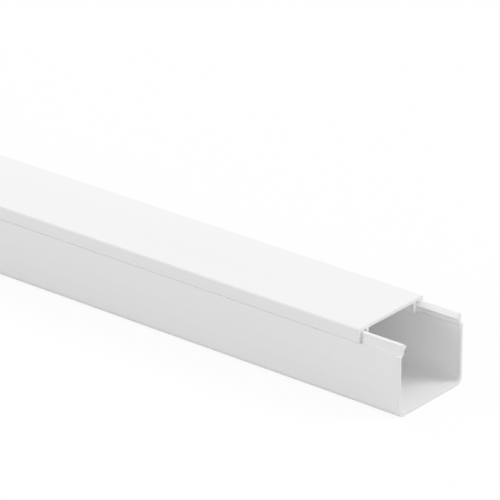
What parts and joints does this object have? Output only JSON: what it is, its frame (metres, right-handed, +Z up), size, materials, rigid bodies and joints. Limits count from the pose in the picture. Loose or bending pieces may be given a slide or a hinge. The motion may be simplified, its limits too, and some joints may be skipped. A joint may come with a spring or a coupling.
{
  "type": "cable trunking",
  "caption": "Straight rectangular plastic cable trunking: a U-shaped channel with in-turned clip lips along its walls, closed by a flush clip-on lid that slides along them.",
  "frame": {"origin": "middle of the channel's underside, halfway along its length", "axes": "+X along the length towards the end where the lid is set back, +Y across the channel, +Z up from the floor to the lid"},
  "size_m": [2.024, 0.05, 0.04],
  "materials": {
    "white_pvc": "satin"
  },
  "bodies": {
    "channel": {"channel": "white_pvc"},
    "lid": {"lid": "white_pvc"}
  },
  "joints": [
    {"name": "lid_slide", "type": "slide", "parent": "channel", "child": "lid", "axis": [1, 0, 0], "range_m": [-1.876, 1.924]}
  ]
}
